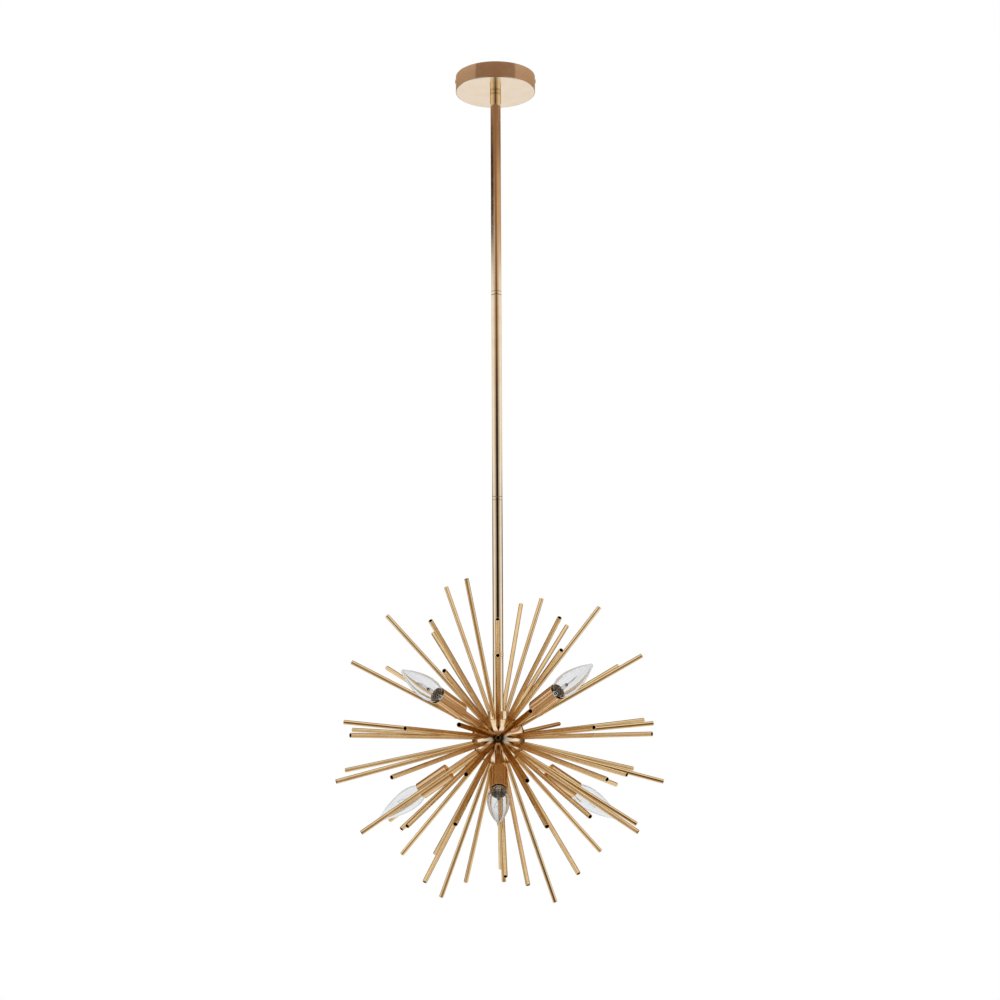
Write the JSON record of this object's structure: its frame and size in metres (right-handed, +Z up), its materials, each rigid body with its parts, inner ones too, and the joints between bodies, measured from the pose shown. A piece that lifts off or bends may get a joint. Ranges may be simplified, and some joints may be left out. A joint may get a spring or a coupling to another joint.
{
  "type": "starburst chandelier",
  "caption": "Starburst chandelier on a straight jointed downrod, with a ball hub, radiating open metal tubes, candle bulbs in sleeve holders and a round ceiling canopy.",
  "frame": {"origin": "centre of the crossbar's top face, in the ceiling plane", "axes": "+Z up, towards the ceiling; the side that the picture shows faces -Y; +X is to its right"},
  "size_m": [0.4641, 0.4807, 1.2277],
  "materials": {
    "gold": "polished antique gold",
    "gold_mirror": "mirror polished rose gold",
    "zinc": "zinc plated",
    "green_screw": "green painted",
    "lead_insulation": "satin",
    "wire_nut_plastic": "gloss",
    "cord_jacket": "satin",
    "black_plastic": "satin black",
    "bare_brass": "bare",
    "nickel": "nickel plated",
    "clear_glass": "clear",
    "filament": "clear stem and bright wire"
  },
  "bodies": {
    "ceiling_mount": {"crossbar": "zinc", "hanger_nipple": "zinc", "hanger_nut": "zinc", "ground_screw": "green_screw", "supply_leads": "lead_insulation", "wire_nuts": "wire_nut_plastic", "canopy_screws": "gold"},
    "canopy": {"canopy": "gold", "canopy_sleeve": "gold"},
    "hanging_lamp": {"rod_upper": "gold", "rod_middle": "gold", "rod_lower": "gold", "stem_ring": "gold", "stem": "gold", "rod_inserts": "zinc", "rod_nipples": "zinc", "hub_ball": "gold_mirror", "hub_lid": "gold", "hub_nipple": "zinc", "hub_nut": "zinc", "crown_tubes": "gold", "upper_tubes": "gold", "raised_tubes": "gold", "level_tubes": "gold", "dipped_tubes": "gold", "lower_tubes": "gold", "skirt_tubes": "gold", "foot_tubes": "gold", "lamp_arms": "gold", "arm_nuts": "zinc", "sockets": "black_plastic", "socket_shells": "bare_brass", "socket_contacts": "bare_brass", "lamp_wires": "cord_jacket", "lead_cord": "cord_jacket", "splice": "black_plastic", "holder_front": "gold", "holder_lower_left": "gold", "holder_lower_right": "gold", "holder_upper_left": "gold", "holder_upper_right": "gold", "holder_back": "gold"},
    "bulb_front": {"bulb_base_front": "nickel", "bulb_glass_front": "clear_glass", "bulb_filament_front": "filament"},
    "bulb_lower_left": {"bulb_base_lower_left": "nickel", "bulb_glass_lower_left": "clear_glass", "bulb_filament_lower_left": "filament"},
    "bulb_lower_right": {"bulb_base_lower_right": "nickel", "bulb_glass_lower_right": "clear_glass", "bulb_filament_lower_right": "filament"},
    "bulb_upper_left": {"bulb_base_upper_left": "nickel", "bulb_glass_upper_left": "clear_glass", "bulb_filament_upper_left": "filament"},
    "bulb_upper_right": {"bulb_base_upper_right": "nickel", "bulb_glass_upper_right": "clear_glass", "bulb_filament_upper_right": "filament"},
    "bulb_back": {"bulb_base_back": "nickel", "bulb_glass_back": "clear_glass", "bulb_filament_back": "filament"}
  },
  "joints": [
    {"name": "canopy_drop", "type": "slide", "parent": "ceiling_mount", "child": "canopy", "axis": [0, 0, -1], "range_m": [0, 0.75]},
    {"name": "lamp_turn", "type": "hinge", "parent": "ceiling_mount", "child": "hanging_lamp", "pos_m": [0, 0, -0.022], "axis": [0, 0, 1], "range_deg": [-180, 180]},
    {"name": "bulb_front_out", "type": "slide", "parent": "hanging_lamp", "child": "bulb_front", "axis": [0, -0.8572, -0.515], "range_m": [0, 0.035]},
    {"name": "bulb_lower_left_out", "type": "slide", "parent": "hanging_lamp", "child": "bulb_lower_left", "axis": [-0.8101, 0.2171, -0.5446], "range_m": [0, 0.035]},
    {"name": "bulb_lower_right_out", "type": "slide", "parent": "hanging_lamp", "child": "bulb_lower_right", "axis": [0.8101, 0.2171, -0.5446], "range_m": [0, 0.035]},
    {"name": "bulb_upper_left_out", "type": "slide", "parent": "hanging_lamp", "child": "bulb_upper_left", "axis": [-0.6064, -0.6735, 0.4226], "range_m": [0, 0.035]},
    {"name": "bulb_upper_right_out", "type": "slide", "parent": "hanging_lamp", "child": "bulb_upper_right", "axis": [0.5962, -0.6621, 0.454], "range_m": [0, 0.035]},
    {"name": "bulb_back_out", "type": "slide", "parent": "hanging_lamp", "child": "bulb_back", "axis": [0, 0.9903, 0.1392], "range_m": [0, 0.035]}
  ]
}
